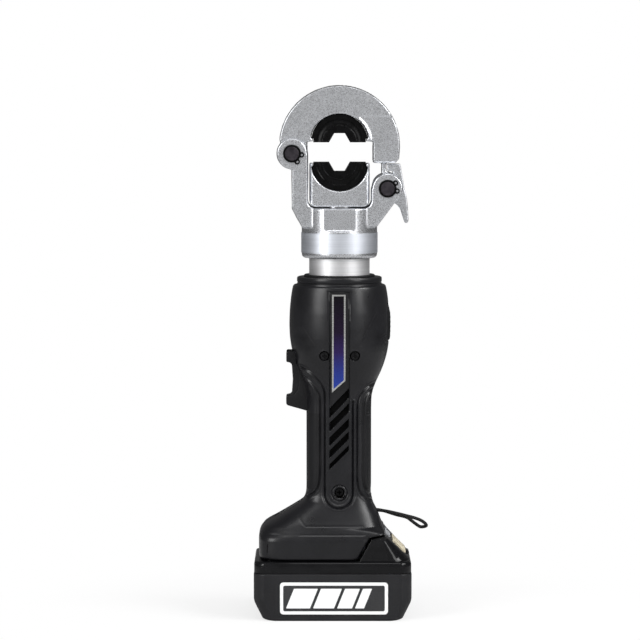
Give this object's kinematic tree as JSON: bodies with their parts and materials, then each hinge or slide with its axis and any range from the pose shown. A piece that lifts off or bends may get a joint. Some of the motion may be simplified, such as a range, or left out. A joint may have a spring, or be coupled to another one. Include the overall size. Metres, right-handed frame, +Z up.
{
  "type": "battery hydraulic crimping tool",
  "caption": "Upright battery crimping tool: moulded grip on a slide-on pack, swivelling hydraulic head with a flip jaw, latch, ram and dies",
  "frame": {"origin": "on the cylinder's axis, on the floor under the pack", "axes": "+Z up along the cylinder towards the jaw, +X towards the strap and the jaw's latch, -Y towards the name plate's side"},
  "size_m": [0.1259, 0.075, 0.3826],
  "materials": {
    "cast_steel": "bright forged and blasted",
    "plain_steel": "ground",
    "tube_steel": "satin turned",
    "black_oxide": "black oxide",
    "pale_band": "satin",
    "housing_plastic": "fine moulded grain",
    "soft_grip": "soft overmould",
    "pack_plastic": "fine moulded grain",
    "gloss_black": "gloss",
    "grey_plastic": "satin",
    "cream_panel": "satin",
    "plate_face": "dark gradient with a bright border",
    "aluminium_block": "machined",
    "brass_part": "machined",
    "copper_winding": "wound core",
    "seal_rubber": "matte",
    "board_green": "lacquered",
    "cell_wrap": "shrink film",
    "strap_cord": "braided"
  },
  "bodies": {
    "handle": {"housing_front": "housing_plastic", "housing_back": "housing_plastic", "housing_screws": "black_oxide", "nose_ring": "housing_plastic", "wiper_seal": "seal_rubber", "name_plate": "plate_face", "grip_pads": "soft_grip", "pump_block": "aluminium_block", "oil_bladder": "seal_rubber", "relief_valve": "brass_part", "pump_plunger": "plain_steel", "plunger_spring": "plain_steel", "bearing_plate": "aluminium_block", "main_bearing": "plain_steel", "ring_gear": "plain_steel", "motor_can": "plain_steel", "motor_end_cap": "housing_plastic", "trigger_switch": "housing_plastic", "trigger_spring": "plain_steel", "release_spring": "plain_steel", "control_board": "board_green", "terminal_block": "housing_plastic", "terminal_blades": "brass_part", "status_panel": "gloss_black", "strap_ferrule": "plain_steel", "wrist_strap": "strap_cord"},
    "head": {"crimp_head": "cast_steel", "collar_band": "pale_band", "cylinder_tube": "tube_steel", "pivot_pins": "plain_steel", "circlips": "black_oxide", "swivel_clip": "plain_steel", "return_spring": "plain_steel"},
    "jaw": {"flip_jaw": "cast_steel", "upper_die": "black_oxide"},
    "ram": {"ram_head": "cast_steel", "piston": "plain_steel", "piston_seal": "seal_rubber", "lower_die": "black_oxide"},
    "latch": {"jaw_latch": "cast_steel", "latch_spring": "plain_steel"},
    "rotor": {"armature": "copper_winding", "sun_pinion": "plain_steel"},
    "carrier": {"planet_carrier": "plain_steel", "cam_shaft": "plain_steel", "cam_bearing": "plain_steel"},
    "planet_1": {"planet_gear_1": "plain_steel"},
    "planet_2": {"planet_gear_2": "plain_steel"},
    "planet_3": {"planet_gear_3": "plain_steel"},
    "trigger_lever": {"trigger": "soft_grip"},
    "release": {"release_button": "soft_grip"},
    "battery": {"battery_case": "pack_plastic", "battery_cover": "gloss_black", "battery_cells": "cell_wrap", "cell_holder": "housing_plastic", "battery_board": "board_green", "battery_terminals": "brass_part", "gauge_panel": "cream_panel"},
    "pack_button": {"battery_button": "grey_plastic"},
    "gauge_key": {"gauge_button": "seal_rubber"}
  },
  "joints": [
    {"name": "head_swivel", "type": "hinge", "parent": "handle", "child": "head", "pos_m": [0, 0, 0.2466], "axis": [0, 0, 1], "range_deg": [-175, 175]},
    {"name": "ram_slide", "type": "slide", "parent": "head", "child": "ram", "axis": [0, 0, 1], "range_m": [0, 0.014], "stiffness_N_per_m": 2500, "springref_m": -0.01, "deforming": ["return_spring"]},
    {"name": "jaw_hinge", "type": "hinge", "parent": "head", "child": "jaw", "pos_m": [-0.034, 0, 0.3337], "axis": [0, -1, 0], "range_deg": [0, 100]},
    {"name": "latch_pivot", "type": "hinge", "parent": "head", "child": "latch", "pos_m": [0.0343, 0, 0.3087], "axis": [0, 1, 0], "range_deg": [0, 22], "stiffness_Nm_per_rad": 0.12, "springref_deg": -20.05},
    {"name": "trigger_slide", "type": "slide", "parent": "handle", "child": "trigger_lever", "axis": [1, 0, 0], "range_m": [0, 0.0045], "stiffness_N_per_m": 800, "springref_m": -0.004, "deforming": ["trigger_spring"]},
    {"name": "release_slide", "type": "slide", "parent": "handle", "child": "release", "axis": [-1, 0, 0], "range_m": [0, 0.0018], "stiffness_N_per_m": 1500, "springref_m": -0.002, "deforming": ["release_spring"]},
    {"name": "battery_slide", "type": "slide", "parent": "handle", "child": "battery", "axis": [1, 0, 0], "range_m": [0, 0.12]},
    {"name": "pack_button_slide", "type": "slide", "parent": "battery", "child": "pack_button", "axis": [0, 0, -1], "range_m": [0, 0.0032], "stiffness_N_per_m": 900, "springref_m": -0.003},
    {"name": "gauge_key_slide", "type": "slide", "parent": "battery", "child": "gauge_key", "axis": [-0.6947, 0, -0.7193], "range_m": [0, 0.0005], "stiffness_N_per_m": 500, "springref_m": -0.0008},
    {"name": "rotor_spin", "type": "hinge", "parent": "handle", "child": "rotor", "pos_m": [0, 0, 0.14], "axis": [0, 0, 1], "continuous": true},
    {"name": "carrier_spin", "type": "hinge", "parent": "handle", "child": "carrier", "pos_m": [0, 0, 0.18], "axis": [0, 0, 1], "continuous": true},
    {"name": "planet_1_spin", "type": "hinge", "parent": "carrier", "child": "planet_1", "pos_m": [0.0093, 0, 0.17], "axis": [0, 0, 1], "continuous": true},
    {"name": "planet_2_spin", "type": "hinge", "parent": "carrier", "child": "planet_2", "pos_m": [-0.00465, 0.00805, 0.17], "axis": [0, 0, 1], "continuous": true},
    {"name": "planet_3_spin", "type": "hinge", "parent": "carrier", "child": "planet_3", "pos_m": [-0.00465, -0.00805, 0.17], "axis": [0, 0, 1], "continuous": true}
  ],
  "couplings": [
    {"joint": "carrier_spin", "follows": "rotor_spin", "ratio": 0.2},
    {"joint": "planet_1_spin", "follows": "rotor_spin", "ratio": -0.53333},
    {"joint": "planet_2_spin", "follows": "rotor_spin", "ratio": -0.53333},
    {"joint": "planet_3_spin", "follows": "rotor_spin", "ratio": -0.53333}
  ]
}
